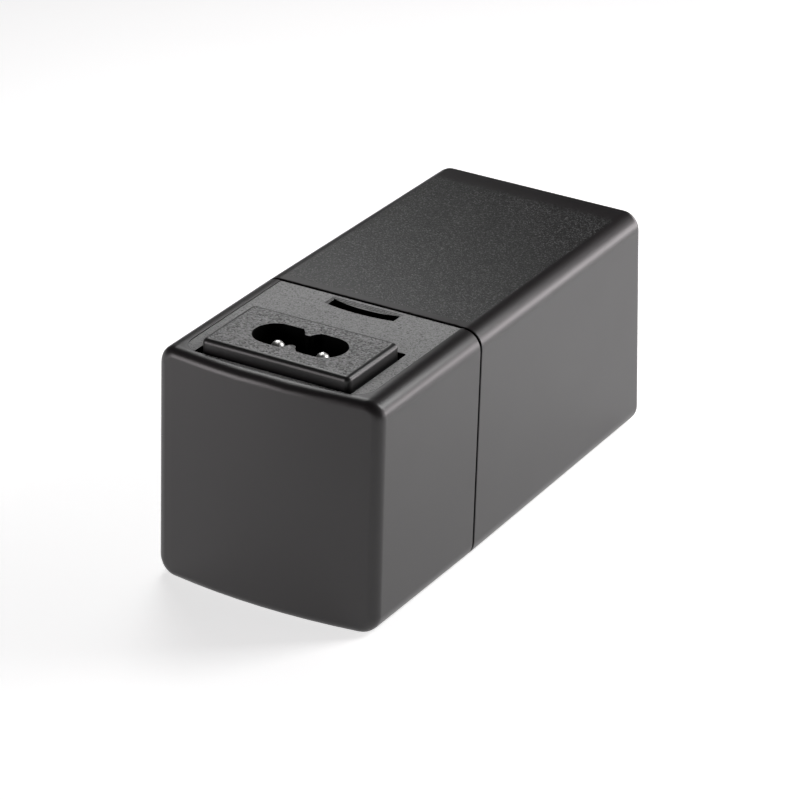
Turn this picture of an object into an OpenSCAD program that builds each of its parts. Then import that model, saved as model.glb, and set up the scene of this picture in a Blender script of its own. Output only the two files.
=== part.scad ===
// AC power adapter in the shape of a camera flash battery: a case of two mouldings, closed at a joint
// one third of the way along, with a two-pole mains inlet standing through the top of its end cap.
// Origin: middle of the underside. +Z is up, and the inlet end points to -Y.

/* [Case] */
// Width of the case at the joint
body_w = 43; // [43:0.5:48]
// Height of the case
body_h = 42.2; // [42.2:0.2:48]
// Length along the top, between the upper corners of the two ends
body_l = 90.6; // [90:0.2:104]
// Length of the end cap along the top
cap_l = 32.2; // [31.8:0.2:36]
// Wall thickness of both mouldings
wall = 2; // [1.8:0.1:2.3]
// Radius of the four long edges
edge_r = 3.4; // [3:0.1:4.5]
// How far the front end swells out in the middle
front_bulge = 2.1; // [1:0.1:3]
// How far the foot of the front end stands forward of its top
front_lean = 1; // [0:0.1:2]
// How far the foot of the joint stands forward of its top
split_lean = 1.4; // [0:0.1:2]
// How far the foot of the rear end stands back from its top
back_lean = 2.8; // [0:0.1:4]
// How much narrower each side of the rear housing is at its far end
draft = 1; // [0.2:0.1:1.3]
// Radius round the edge of the front end
front_r = 1.7; // [1.2:0.1:2.4]
// Radius round the edge of the rear end
back_r = 1.9; // [1.2:0.1:2.4]

/* [Joint between cap and housing] */
// Width of the open line between the two mouldings
reveal = 0.5; // [0.2:0.05:0.6]
// Chamfer on both rims of that line
rim_chamfer = 0.1; // [0.1:0.05:0.25]
// Length of the cap's tongue inside the housing
tongue_l = 2.6; // [1.6:0.1:3]
// Thickness of the tongue
tongue_t = 0.9; // [0.7:0.05:1.1]
// Clearance round the tongue
tongue_gap = 0.12; // [0.08:0.02:0.2]

/* [Grained panel on the cap] */
// Depth of the panel below the cap's top
panel_depth = 0.15; // [0.1:0.05:0.3]
// Distance from the case's rounded long edges to the panel
panel_side = 0.4; // [0.2:0.1:1.6]
// Distance from the front end to the panel
panel_edge = 1.9; // [1.9:0.1:3]
// Radius of the panel's front corners
panel_r = 4; // [2:0.5:5]

/* [Catch slot] */
// Width of the slot
slot_w = 12.8; // [11:0.2:15]
// Distance from the joint to the slot's rear corners
slot_setback = 1.3; // [1.2:0.1:2.2]
// Front to back size of the slot at its ends
slot_d = 2.6; // [2:0.1:2.8]
// How far the slot's front edge bows forward in the middle
slot_bow = 0.65; // [0.3:0.05:1]
// How far its rear edge bows forward in the middle
slot_rear_bow = 0.85; // [0.5:0.05:1.4]
// Radius of the slot's front corners
slot_r = 1.2; // [0.5:0.1:1.2]
// Depth of the slot
slot_depth = 6; // [4:0.5:7]
// Distance from the slot's rear corners to the first of the straight steps behind it
slot_lip = 0.35; // [0.2:0.05:0.6]
// Distance between those steps
slot_step = 0.35; // [0.2:0.05:0.4]
// Depth of each of those steps
slot_step_h = 0.08; // [0.05:0.01:0.15]
// Width of the first step at the slot's ends
slot_end = 0.4; // [0.1:0.05:0.5]
// Wall round the blind slot
slot_wall = 1.2; // [0.8:0.1:1.4]

/* [Mains inlet] */
// Width of the inlet block
block_w = 28.4; // [26.4:0.2:28.8]
// Front to back size of the inlet block
block_d = 16; // [15:0.2:16.2]
// Height of the block above the cap
block_proud = 2.1; // [1:0.1:3]
// Distance from the front end's upper corners to the middle of the inlet
inlet_setback = 9.8; // [9.7:0.1:10.6]
// Gap between the block and the window round it
window_gap = 0.8; // [0.4:0.05:0.9]
// Radius of the window's corners
window_r = 0.4; // [0.2:0.1:1]
// Radius of the block's upright corners
block_r = 1; // [0.95:0.05:2]
// Radius round the block's top
block_top_r = 0.9; // [0.5:0.1:0.9]
// Length of the two-lobed cavity
cavity_w = 17.4; // [16.6:0.1:18]
// Front to back size of the cavity
cavity_d = 8; // [7.6:0.1:8.6]
// Depth of the cavity
cavity_depth = 11.5; // [9:0.5:12]
// Height of the two notches in the middle of the cavity
notch_h = 1.85; // [1.4:0.05:1.9]
// Half width of a notch at its foot
notch_w = 1.7; // [1.2:0.1:2]
// Radius of a notch's tip
notch_r = 0.8; // [0.5:0.05:0.9]
// Distance between the two contact pins
pin_pitch = 8.6; // [8.4:0.1:8.8]
// Diameter of the contact pins
pin_d = 2.4; // [2.2:0.05:2.6]
// Distance of the pin tips below the block's top
pin_below = 1.15; // [1:0.05:3]
// Thickness of the block's floor under the cavity
floor_t = 3.5; // [3:0.5:5]
// Height of the cap's bosses for the inlet screws
boss_h = 6; // [4:0.5:7]
// Thickness of the inlet's two screw ears
ear_t = 2; // [1.5:0.1:2.5]

/* [Circuit board] */
// Distance from the case's side wall, at the joint, to the board
board_side = 2.1; // [2:0.1:2.4]
// Thickness of the board
board_t = 1.6; // [1:0.2:2]
// Height of the board's underside above the base
board_z = 6; // [5.6:0.2:7]
// Distance from the front end's upper corners to the board
board_front = 1.2; // [1:0.1:2]
// Distance from the rear wall to the board
board_back = 1; // [0.8:0.1:2]
// Radius of a component lead
lead_r = 0.4; // [0.3:0.05:0.45]
// Length of a lead below the board
lead_out = 1.5; // [1.2:0.1:1.8]
// Thickness of the insulating sheet on the case floor
sheet_t = 0.4; // [0.2:0.1:0.6]
// Height of the board screw posts' hole below the board
screw_l = 3; // [2.5:0.1:3.4]

/* [Power components] */
// Diameter of the bulk capacitor
bulk_d = 15; // [14:0.5:15]
// Height of the bulk capacitor
bulk_h = 25; // [20:1:30]
// Length of the transformer core
core_l = 19; // [18:0.5:20]
// Width of the transformer core
core_w = 18; // [17.5:0.5:20]
// Thickness of the transformer core and of its middle leg
core_t = 5.9; // [5:0.1:6]
// Height of the heatsink plates
sink_h = 24; // [22:0.5:26]
// Thickness of the heatsink plates
sink_t = 1.5; // [1.2:0.1:1.7]
// Diameter of the output capacitors
out_cap_d = 8; // [6.5:0.5:8.5]
// Height of the output capacitors
out_cap_h = 16; // [12:1:20]

/* [Output contacts] */
// Width of the contact block
contact_block_w = 21; // [20:0.5:24]
// Height of the contact block
contact_block_h = 8; // [7:0.5:10]
// Height of the contact block's middle above the base
contact_z = 22; // [20:0.5:26]
// Distance between the contacts
contact_pitch = 6.5; // [6:0.1:7]
// Width of a contact
contact_w = 3; // [2:0.2:3.6]

/* [Hidden] */

$fn = 48;
eps = 0.01;
// Clearance between a moulded part and what slides into it
fit = 0.1;

half_w = body_w / 2;
y_front = -body_l / 2;
y_split = y_front + cap_l;
y_back = body_l / 2;
corner_steps = 8;
flat_steps = 8;
fillet_steps = 5;
// Radius of the case's inner long edges
inner_r = 1;

// Share of the height that is left above a point
function foot(z) = 1 - z / body_h;
// The three faces across the case: how far along each one stands at a point of the section
front_face = function(x, z) y_front - front_bulge * (1 - pow(x / half_w, 2)) - front_lean * foot(z);
split_face = function(x, z) y_split - split_lean * foot(z);
back_face = function(x, z) y_back + back_lean * foot(z);
// Sideways scale that gives the rear housing its draft
function taper(y) = 1 - draft / half_w * max(0, y - y_split) / (y_back - y_split);

// Upper half of a rounded section, left to right, as [x, height above the middle]
function upper_half(hx, hz, r) = concat(
  [for (i = [0:corner_steps]) let (a = 90 * i / corner_steps) [r - hx - r * cos(a), hz - r + r * sin(a)]],
  [for (i = [1:flat_steps - 1]) [(hx - r) * (2 * i / flat_steps - 1), hz]],
  [for (i = [0:corner_steps]) let (a = 90 * i / corner_steps) [hx - r + r * sin(a), hz - r + r * cos(a)]]
);

// Ring of the case: its section drawn in by inset, laid on an end face and moved along by shift
function ring(face, inset, shift) =
  let (
    half = upper_half(half_w - inset, body_h / 2 - inset, max(edge_r - inset, inner_r)),
    n = len(half)
  )
  [for (i = [0:2 * n - 1])
    let (
      x = half[min(i, 2 * n - 1 - i)][0],
      z = body_h / 2 + (i < n ? half[i][1] : -half[2 * n - 1 - i][1]),
      y = face(x, z) + shift
    )
    [x * taper(y), y, z]
  ];

// Rings that round the edge between an end face and the long sides
function edge_rings(face, r, side) =
  [for (i = [0:fillet_steps])
    let (a = 90 * i / fillet_steps)
    ring(face, r * (1 - sin(a)), side * r * (1 - cos(a)))
  ];

// Closed solid through a list of rings, with both ends filled by upright strips
module loft(rings) {
  n = len(rings[0]);
  last = (len(rings) - 1) * n;
  sides = [
    for (k = [0:len(rings) - 2])
      for (i = [0:n - 1])
        let (j = (i + 1) % n, a = k * n, b = a + n)
        each [[a + i, b + i, b + j], [a + i, b + j, a + j]]
  ];
  near = [for (i = [0:n / 2 - 2]) [i, i + 1, n - 2 - i, n - 1 - i]];
  far = [for (s = near) [last + s[3], last + s[2], last + s[1], last + s[0]]];
  polyhedron([for (r = rings) each r], concat(sides, near, far), convexity = 8);
}

function reversed(list) = [for (i = [len(list) - 1:-1:0]) list[i]];

// Square with round corners, centred
module rounded_square(w, d, r) {
  square([w - 2 * r, d], center = true);
  square([w, d - 2 * r], center = true);
  for (x = [-1, 1], y = [-1, 1])
    translate([x * (w / 2 - r), y * (d / 2 - r)]) circle(r);
}

// Upright block with round corners, standing on the given point
module brick(at, w, d, h, r) {
  translate(at) linear_extrude(h) rounded_square(w, d, r);
}

// Row of straight round pieces through a list of points
module wire(points, r) {
  for (i = [1:len(points) - 1]) {
    d = points[i] - points[i - 1];
    translate(points[i - 1]) rotate([0, acos(d[2] / norm(d)), atan2(d[1], d[0])])
      cylinder(r = r, h = norm(d));
  }
  for (i = [1:1:len(points) - 2])
    translate(points[i]) sphere(r = r + eps);
}

// Case mouldings
housing_hollow_y = y_split + tongue_l + 2 * tongue_gap + reveal;
rail_t = 1.2;
rail_grip = 0.8;
board_w = body_w - 2 * wall - 2 * board_side;
rail_in = board_w / 2 - rail_grip;
rail_out = half_w - wall + (wall - draft) / 2;
board_top = board_z + board_t;
board_y0 = y_front + board_front;
board_y1 = y_back - wall - board_back;
post_r = 2.6;
board_screw_r = 1.2;
screw_side = 3.8;
left_screw_back = 16.5;
right_screw_back = 13;
board_screws_at = [
  [screw_side - board_w / 2, board_y1 - left_screw_back],
  [board_w / 2 - screw_side, board_y1 - right_screw_back]
];
contact_lean = atan(back_lean / body_h);
contact_window_gap = 0.2;

module housing_shell() {
  rebate = wall - tongue_t - tongue_gap;
  loft(concat(
    [
      ring(back_face, wall, -wall),
      ring(split_face, wall, tongue_l + tongue_gap + reveal),
      ring(split_face, rebate, tongue_l + tongue_gap + reveal),
      ring(split_face, rebate, reveal / 2),
      ring(split_face, rim_chamfer, reveal / 2),
      ring(split_face, 0, reveal / 2 + rim_chamfer)
    ],
    reversed(edge_rings(back_face, back_r, -1))
  ));
}

// Grooved rails that the board slides into
module board_rails(y0, y1) {
  for (x = [-1, 1], z = [board_z - rail_t, board_top + fit])
    translate([x > 0 ? rail_in : -rail_out, y0, z]) cube([rail_out - rail_in, y1 - y0, rail_t]);
}

module main_housing() {
  color("#2f2f31") difference() {
    union() {
      housing_shell();
      board_rails(housing_hollow_y + 1, y_back - wall / 2);
      for (p = board_screws_at)
        translate([p[0], p[1], wall / 2]) cylinder(r = post_r, h = board_z - wall / 2);
    }
    for (p = board_screws_at)
      translate([p[0], p[1], board_z - screw_l - fit]) cylinder(r = board_screw_r + fit / 2, h = screw_l + 1);
    at_contact_block() cube([
      contact_block_w + 2 * contact_window_gap, 4 * wall, contact_block_h + 2 * contact_window_gap
    ], center = true);
  }
}

inlet_y = y_front + inlet_setback;
window_w = block_w + 2 * window_gap;
window_d = block_d + 2 * window_gap;
ear_top = body_h - wall - boss_h;
// The screws stand in the middle of the space between the block and the cap's wall
boss_x = (block_w / 2 + half_w - wall) / 2;
boss_gap = 0.3;
boss_r = boss_x - block_w / 2 - boss_gap;
boss_rib_t = 1.2;
ear_out = half_w - wall - boss_gap;
inlet_screw_r = 0.8;
inlet_head_r = 1.4;
slot_y = y_split - slot_setback;
slot_steps = 3;

module cap_shell() {
  tongue = wall - tongue_t;
  loft(concat(
    edge_rings(front_face, front_r, 1),
    [
      ring(split_face, 0, -reveal / 2 - rim_chamfer),
      ring(split_face, rim_chamfer, -reveal / 2),
      ring(split_face, tongue, -reveal / 2),
      ring(split_face, tongue, tongue_l),
      ring(split_face, wall, tongue_l),
      ring(front_face, wall, wall)
    ]
  ));
}

// Outline of the shallow panel: its front edge runs beside the bowed front end
module panel_outline() {
  hx = half_w - edge_r - panel_side;
  function edge_y(x) = front_face(x, body_h) + panel_edge;
  corner = [hx - panel_r, edge_y(hx - panel_r) + panel_r];
  arc = [for (i = [0:corner_steps]) let (a = 90 * i / corner_steps) corner + panel_r * [sin(a), -cos(a)]];
  bow = [
    for (i = [-flat_steps + 1:flat_steps - 1])
      let (x = (hx - panel_r) * i / flat_steps)
      [x, edge_y(x)]
  ];
  left = [for (p = reversed(arc)) [-p[0], p[1]]];
  polygon(concat(left, bow, arc, [[hx, y_split + 1], [-hx, y_split + 1]]));
}

// Circle that the slot's front or rear edge follows, through the ends of a bow
module bow_circle(y_middle, bow) {
  bow_r = (pow(slot_w / 2, 2) + bow * bow) / (2 * bow);
  translate([0, y_middle + bow_r]) circle(bow_r, $fn = 360);
}

// Outline of the i-th step: straight behind, and bowed in front
module slot_step_outline(i) {
  hw = slot_w / 2 + slot_end * (slot_steps - i) / slot_steps;
  front = slot_y - slot_d - slot_bow;
  intersection() {
    translate([-hw, front]) square([2 * hw, slot_d + slot_bow + slot_lip - i * slot_step]);
    bow_circle(front, slot_bow);
  }
}

module slot_outline() {
  front = slot_y - slot_d - slot_bow;
  difference() {
    intersection() {
      translate([0, front + slot_d]) rounded_square(slot_w, 2 * slot_d, slot_r);
      bow_circle(front, slot_bow);
      translate([-slot_w, front]) square([2 * slot_w, slot_d + slot_bow]);
    }
    bow_circle(slot_y - slot_rear_bow, slot_rear_bow);
  }
}

module end_cap() {
  color("#333335") difference() {
    union() {
      cap_shell();
      for (s = [-1, 1]) scale([s, 1, 1]) {
        translate([boss_x, inlet_y, ear_top]) cylinder(r = boss_r, h = boss_h + wall / 2);
        translate([boss_x + inlet_screw_r + fit, inlet_y - boss_rib_t / 2, ear_top])
          cube([half_w - wall / 2 - boss_x - inlet_screw_r - fit, boss_rib_t, boss_h + wall / 2]);
      }
      translate([0, slot_y - (slot_d + slot_bow) / 2, body_h - (slot_depth + slot_wall + wall / 2) / 2])
        cube([
          slot_w + 2 * slot_wall, slot_d + slot_bow + 2 * slot_wall, slot_depth + slot_wall - wall / 2
        ], center = true);
      for (x = [-1, 1])
        translate([x > 0 ? rail_in : -rail_out, inlet_y, board_z - rail_t])
          cube([rail_out - rail_in, inlet_setback, rail_t]);
    }
    translate([0, 0, body_h - panel_depth]) linear_extrude(1) panel_outline();
    brick([0, inlet_y, body_h - wall - 0.5], window_w, window_d, wall + 1, window_r);
    translate([0, 0, body_h - slot_depth]) linear_extrude(slot_depth + 1) slot_outline();
    for (i = [0:slot_steps - 1])
      translate([0, 0, body_h - panel_depth - (i + 1) * slot_step_h])
        linear_extrude(1) slot_step_outline(i);
    for (x = [-1, 1])
      translate([x * boss_x, inlet_y, ear_top - 1]) cylinder(r = inlet_screw_r + fit / 2, h = boss_h);
  }
}

// Mains inlet
block_top = body_h + block_proud;
cavity_floor = block_top - cavity_depth;
block_bottom = cavity_floor - floor_t;
ear_in = block_w / 2 - 1;
ear_d = 6;
shank_r = pin_d / 2 + 0.3;
tag_l = 4;
// Radius of the insulated links from the inlet and the contacts to the board
link_r = 0.9;

// Corner post of the block, with the rounding of its upper edge
module block_post(h) {
  rotate_extrude($fn = 32) {
    square([block_r, h - block_top_r]);
    square([block_r - block_top_r, h]);
    translate([block_r - block_top_r, h - block_top_r]) intersection() {
      circle(block_top_r);
      square(block_top_r);
    }
  }
}

// Two-lobed cavity with a rounded notch in the middle of each long side
module cavity_outline() {
  lobe = cavity_d / 2;
  difference() {
    rounded_square(cavity_w, cavity_d, lobe - eps);
    for (s = [-1, 1]) scale([1, s]) {
      translate([0, -lobe + notch_h - notch_r]) circle(notch_r);
      polygon([
        [-notch_w, -lobe - 1], [notch_w, -lobe - 1], [notch_w, -lobe],
        [notch_r, -lobe + notch_h - notch_r], [-notch_r, -lobe + notch_h - notch_r], [-notch_w, -lobe]
      ]);
    }
  }
}

module inlet_body() {
  color("#2a2a2b") difference() {
    union() {
      hull()
        for (x = [-1, 1], y = [-1, 1])
          translate([x * (block_w / 2 - block_r), inlet_y + y * (block_d / 2 - block_r), block_bottom])
            block_post(block_top - block_bottom);
      for (x = [-1, 1])
        brick([x * (ear_out + ear_in) / 2, inlet_y, ear_top - ear_t], ear_out - ear_in, ear_d, ear_t, 0.8);
    }
    translate([0, inlet_y, cavity_floor]) linear_extrude(cavity_depth + 1) cavity_outline();
    for (x = [-1, 1]) {
      translate([x * pin_pitch / 2, inlet_y, block_bottom - 1])
        cylinder(r = shank_r + fit / 2, h = floor_t + 2);
      translate([x * boss_x, inlet_y, ear_top - ear_t - 1])
        cylinder(r = inlet_screw_r + 2 * fit, h = ear_t + 2);
    }
  }
}

// Contact pin: domed shaft, thicker shank in the floor, collar and flat tag below it
module inlet_pin(x) {
  color("#d8d8d8") translate([x, inlet_y, 0]) {
    translate([0, 0, cavity_floor]) cylinder(d = pin_d, h = cavity_depth - pin_below - pin_d / 2);
    translate([0, 0, block_top - pin_below - pin_d / 2]) intersection() {
      sphere(d = pin_d);
      cylinder(d = 2 * pin_d, h = pin_d);
    }
    translate([0, 0, block_bottom]) cylinder(r = shank_r, h = floor_t);
    translate([0, 0, block_bottom - 0.8]) cylinder(r = shank_r + 0.6, h = 0.8);
    difference() {
      translate([-1.2, -0.4, block_bottom - tag_l]) cube([2.4, 0.8, tag_l]);
      translate([0, 1, block_bottom - tag_l / 2]) rotate([90, 0, 0]) cylinder(r = 0.5, h = 2);
    }
  }
}

module inlet_pin_left() { inlet_pin(-pin_pitch / 2); }

module inlet_pin_right() { inlet_pin(pin_pitch / 2); }

// Pan head screw with its head down at the origin and its shank pointing up
module screw(r, l, head_r, head_h) {
  difference() {
    union() {
      cylinder(r = r, h = l);
      translate([0, 0, -head_h]) cylinder(r1 = 0.8 * head_r, r2 = head_r, h = head_h);
    }
    for (a = [0, 90])
      translate([0, 0, -head_h]) rotate(a) cube([1.1 * head_r, 0.25 * head_r, head_h], center = true);
  }
}

module inlet_screws() {
  color("#b9bcc0")
    for (x = [-1, 1])
      translate([x * boss_x, inlet_y, ear_top - ear_t])
        screw(inlet_screw_r, boss_h + ear_t - 2, inlet_head_r, 1.2);
}

// Straight insulated link from an inlet tag to the board
module inlet_lead(x) {
  translate([x, inlet_y, board_top]) cylinder(r = link_r, h = block_bottom - tag_l - board_top);
  translate([x, inlet_y, 0]) through_lead();
}

module live_lead() { color("#6b3a1e") inlet_lead(-pin_pitch / 2); }

module neutral_lead() { color("#2c4f8c") inlet_lead(pin_pitch / 2); }

// Circuit board and the places of its components
solder_r = 1;
peg_r = 0.6;
peg_in = 2.5;
solder_h = 0.8;
hole_gap = 0.1;
pitch = 5.08;
leg_w = 3;

// Clearance between neighbouring components
space = 0.4;
// Distance from the board's ends and sides to its first components
end_gap = 1.8;
side_gap = 1.8;
// Middle of the two rows of components that stand along the board's sides
row_x = board_w / 2 - 6.4;
// Middle of the small components at the board's sides
edge_x = board_w / 2 - 3.4;

fuse_d = 8.4;
fuse_h = 8;
fuse_rim = 0.6;
fuse_at = [-row_x, board_y0 + end_gap + fuse_d / 2];
fuse_leads = [[-pitch / 2, 0], [pitch / 2, 0]];
varistor_d = 10;
varistor_t = 3.6;
varistor_at = [-row_x, fuse_at[1] + fuse_d / 2 + 3 * space + varistor_t / 2];
varistor_leads = [[-pitch / 2, 0], [pitch / 2, 0]];
thermistor_d = 9;
thermistor_t = 3.8;
thermistor_at = [row_x, board_y0 + end_gap + thermistor_t / 2];
x_cap_w = 8;
x_cap_l = 17.4;
x_cap_h = 14;
x_cap_pitch = 15;
x_cap_gap = 2.6;
x_cap_at = [
  (pin_pitch / 2 + link_r + rail_in) / 2,
  thermistor_at[1] + thermistor_t / 2 + x_cap_gap + x_cap_l / 2
];
x_cap_leads = [[0, -x_cap_pitch / 2], [0, x_cap_pitch / 2]];
choke_r = 5.2;
choke_core_w = 3.2;
choke_core_h = 6;
choke_lift = 1.6;
choke_wire = 0.9;
choke_out = choke_r + choke_core_w / 2 + choke_wire;
choke_at = [2 * side_gap + choke_out - board_w / 2, varistor_at[1] + varistor_t / 2 + space + choke_out];
choke_leads = [for (a = [42, 138, 222, 318]) (choke_out - choke_wire / 2) * [cos(a), sin(a)]];
bridge_w = 12.4;
bridge_t = 3.4;
bridge_h = 10;
bridge_pitch = 3.8;
bridge_foot = 2;
bridge_hole_r = 1.6;
bridge_leg_r = 0.6;
bridge_gap = 4.6;
bridge_at = [board_w / 2 - side_gap - bridge_w / 2, x_cap_at[1] + x_cap_l / 2 + bridge_gap + bridge_t / 2];
bridge_leads = [for (i = [-1.5:1.5]) [i * bridge_pitch, 0]];
bulk_pitch = 7.5;
bulk_at = [side_gap + bulk_d / 2 - board_w / 2, choke_at[1] + choke_out + space + bulk_d / 2];
bulk_leads = [[-bulk_pitch / 2, 0], [bulk_pitch / 2, 0]];
sink_x = board_w / 2 - side_gap - 1;
sink_gap = 1.3;
primary_sink_l = 16;
primary_sink_y0 = bridge_at[1] + bridge_t / 2 + sink_gap;
primary_sink_y = [primary_sink_y0, primary_sink_y0 + primary_sink_l];
tab_t = 1.3;
power_t = 4.4;
power_w = 10;
transistor_y = primary_sink_y0 + primary_sink_l / 2;
power_leads = [for (i = [-1:1]) [0, i * pitch / 2]];
power_lead_x = sink_x - 2.6;
chip_at = [(bulk_at[0] + bulk_d / 2 + sink_x - power_t) / 2, bulk_at[1] + 3.3];
opto_w = 4.5;
opto_l = 6.2;
opto_h = 3.4;
opto_leg = 1.2;
y_cap_d = 8;
y_cap_t = 3.2;
out_cap_pitch = 5;
out_gap = 3.2;
out_y = board_y1 - out_gap - out_cap_d / 2;
// The transformer stands in the middle of the space between the capacitors of the two sides
transformer_at = [(y_cap_t - opto_w) / 4, (bulk_at[1] + bulk_d / 2 + out_y - out_cap_d / 2) / 2];
core_gap = 0.3;
bobbin_l = core_l - 2 * (leg_w + core_gap);
bobbin_foot = 3;
transformer_pitch = 3.2;
transformer_leads = [
  for (x = [-1, 1], i = [-1.5:1.5]) [x * (bobbin_l / 2 + bobbin_foot / 2 - 0.2), i * transformer_pitch]
];
opto_at = [edge_x, transformer_at[1]];
opto_leads = [for (y = [-1, 1], x = [-1, 1]) [x * pitch / 4, y * 3.81]];
y_cap_at = [-edge_x, transformer_at[1] - y_cap_d * 0.4];
y_cap_leads = [[0, -pitch / 2], [0, pitch / 2]];
out_choke_r = 2.6;
out_choke_h = 8;
out_choke_pitch = 3.6;
out_choke_at = [edge_x, out_y];
out_choke_leads = [[0, -out_choke_pitch / 2], [0, out_choke_pitch / 2]];
out_caps_at = [
  [power_t + space + out_cap_d / 2 - sink_x, out_y],
  [edge_x - out_choke_r - space - out_cap_d / 2, out_y]
];
out_cap_leads = [[-out_cap_pitch / 2, 0], [out_cap_pitch / 2, 0]];
secondary_sink_l = 11.4;
sink_back = 1;
secondary_sink_y = [board_y1 - sink_back - secondary_sink_l, board_y1 - sink_back];
rectifier_y = board_y1 - end_gap - power_w / 2;
contact_x = [-contact_pitch, 0, contact_pitch];
// Distance from the rear end's face to the tip of a contact's tail, and to the link soldered on it
contact_tail = wall + 3;
link_out = 1.2;
wire_y = back_face(0, contact_z) - (contact_tail + link_out) * cos(contact_lean);
disc_stand = 1.2;

function placed(at, offsets) = [for (o = offsets) at + o];

lead_holes = concat(
  placed([0, inlet_y], [[-pin_pitch / 2, 0], [pin_pitch / 2, 0]]),
  placed(fuse_at, fuse_leads), placed(varistor_at, varistor_leads), placed(thermistor_at, varistor_leads),
  placed(x_cap_at, x_cap_leads), placed(choke_at, choke_leads), placed(bridge_at, bridge_leads),
  placed(bulk_at, bulk_leads), placed([power_lead_x, transistor_y], power_leads),
  placed(transformer_at, transformer_leads), placed(opto_at, opto_leads), placed(y_cap_at, y_cap_leads),
  placed([-power_lead_x, rectifier_y], power_leads), placed(out_caps_at[0], out_cap_leads),
  placed(out_caps_at[1], out_cap_leads), placed(out_choke_at, out_choke_leads),
  placed([0, wire_y], [for (x = contact_x) [x, 0]])
);
peg_holes = concat(
  [for (y = primary_sink_y) [sink_x + sink_t / 2, y + (y > primary_sink_y[0] ? -peg_in : peg_in)]],
  [for (y = secondary_sink_y) [-sink_x - sink_t / 2, y + (y > secondary_sink_y[0] ? -peg_in : peg_in)]]
);

// Bare lead through the board with the cone of solder below it
module through_lead() {
  translate([0, 0, board_z - lead_out]) cylinder(r = lead_r, h = lead_out + board_t + eps);
  translate([0, 0, board_z - solder_h]) cylinder(r1 = lead_r, r2 = solder_r, h = solder_h);
}

module leads(at, offsets) {
  for (p = placed(at, offsets))
    translate([p[0], p[1], 0]) through_lead();
}

module circuit_board() {
  color("#2c6b3f") difference() {
    translate([-board_w / 2, board_y0, board_z]) cube([board_w, board_y1 - board_y0, board_t]);
    for (p = lead_holes)
      translate([p[0], p[1], board_z - 1]) cylinder(r = lead_r + hole_gap, h = board_t + 2, $fn = 24);
    for (p = peg_holes)
      translate([p[0], p[1], board_z - 1]) cylinder(r = peg_r + hole_gap, h = board_t + 2, $fn = 24);
    for (p = board_screws_at)
      translate([p[0], p[1], board_z - 1]) cylinder(r = board_screw_r + 2 * fit, h = board_t + 2);
  }
}

module board_screws() {
  color("#b9bcc0")
    for (p = board_screws_at)
      translate([p[0], p[1], board_top]) rotate([180, 0, 0])
        screw(board_screw_r, board_t + screw_l - 0.4, 2.2, 1.5);
}

// Distance from the board's edge to the sheet's
sheet_in = 2;

module insulating_sheet() {
  color("#c9c2a8") difference() {
    translate([sheet_in - board_w / 2, board_y0 + sheet_in, wall])
      cube([board_w - 2 * sheet_in, board_y1 - board_y0 - 2 * sheet_in, sheet_t]);
    for (p = board_screws_at)
      translate([p[0], p[1], 0]) cylinder(r = post_r + 0.3, h = board_z);
  }
}

// Components on the mains side
module fuse() {
  color("#5a4632") {
    translate([fuse_at[0], fuse_at[1], board_top]) cylinder(d = fuse_d, h = fuse_h - fuse_rim);
    translate([fuse_at[0], fuse_at[1], board_top + fuse_h - fuse_rim])
      cylinder(r1 = fuse_d / 2, r2 = fuse_d / 2 - fuse_rim, h = fuse_rim);
    leads(fuse_at, fuse_leads);
  }
}

// Coated disc on edge, with straight leads down to the board
module disc(at, offsets, d, t, turn) {
  translate([at[0], at[1], board_top + disc_stand + d / 2]) rotate([90, 0, turn]) rotate_extrude() {
    translate([0, -t / 2]) square([d / 2 - t / 2, t]);
    translate([d / 2 - t / 2, 0]) intersection() {
      circle(d = t);
      translate([0, -t]) square([t, 2 * t]);
    }
  }
  for (p = placed(at, offsets))
    translate([p[0], p[1], board_top]) cylinder(r = lead_r, h = disc_stand + d / 2);
  leads(at, offsets);
}

module varistor() { color("#2e5c9a") disc(varistor_at, varistor_leads, varistor_d, varistor_t, 0); }

module inrush_thermistor() {
  color("#3c5a36") disc(thermistor_at, varistor_leads, thermistor_d, thermistor_t, 0);
}

module x_capacitor() {
  color("#c9a227") {
    brick([x_cap_at[0], x_cap_at[1], board_top], x_cap_w, x_cap_l, x_cap_h, 0.8);
    leads(x_cap_at, x_cap_leads);
  }
}

module choke_core() {
  color("#3d5d4b") translate([choke_at[0], choke_at[1], board_top + choke_lift]) rotate_extrude()
    translate([choke_r - choke_core_w / 2, 0]) square([choke_core_w, choke_core_h]);
}

// Two windings, each a sleeve of turns on one side of the ring, on two feet that carry the choke
module choke_windings() {
  gap = 0.05;
  color("#a8572a") {
    for (side = [0, 180])
      translate([choke_at[0], choke_at[1], board_top + choke_lift]) rotate(side - 55)
        rotate_extrude(angle = 110) difference() {
          translate([choke_r - choke_core_w / 2 - choke_wire, -choke_wire])
            square([choke_core_w + 2 * choke_wire, choke_core_h + 2 * choke_wire]);
          translate([choke_r - choke_core_w / 2 - gap, -gap])
            square([choke_core_w + 2 * gap, choke_core_h + 2 * gap]);
        }
    for (p = placed(choke_at, choke_leads))
      translate([p[0], p[1], board_top]) cylinder(r = lead_r, h = choke_lift + 2);
    leads(choke_at, choke_leads);
  }
}

module bridge_rectifier() {
  color("#1f1f21") {
    difference() {
      translate([bridge_at[0] - bridge_w / 2, bridge_at[1] - bridge_t / 2, board_top + bridge_foot])
        cube([bridge_w, bridge_t, bridge_h]);
      translate([bridge_at[0], bridge_at[1] + bridge_t, board_top + bridge_foot + 0.65 * bridge_h])
        rotate([90, 0, 0]) cylinder(r = bridge_hole_r, h = 2 * bridge_t);
    }
    for (p = placed(bridge_at, bridge_leads))
      translate([p[0], p[1], board_top]) cylinder(r = bridge_leg_r, h = bridge_foot);
    leads(bridge_at, bridge_leads);
  }
}

can_rim = 0.8;
can_groove = 0.7;

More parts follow.
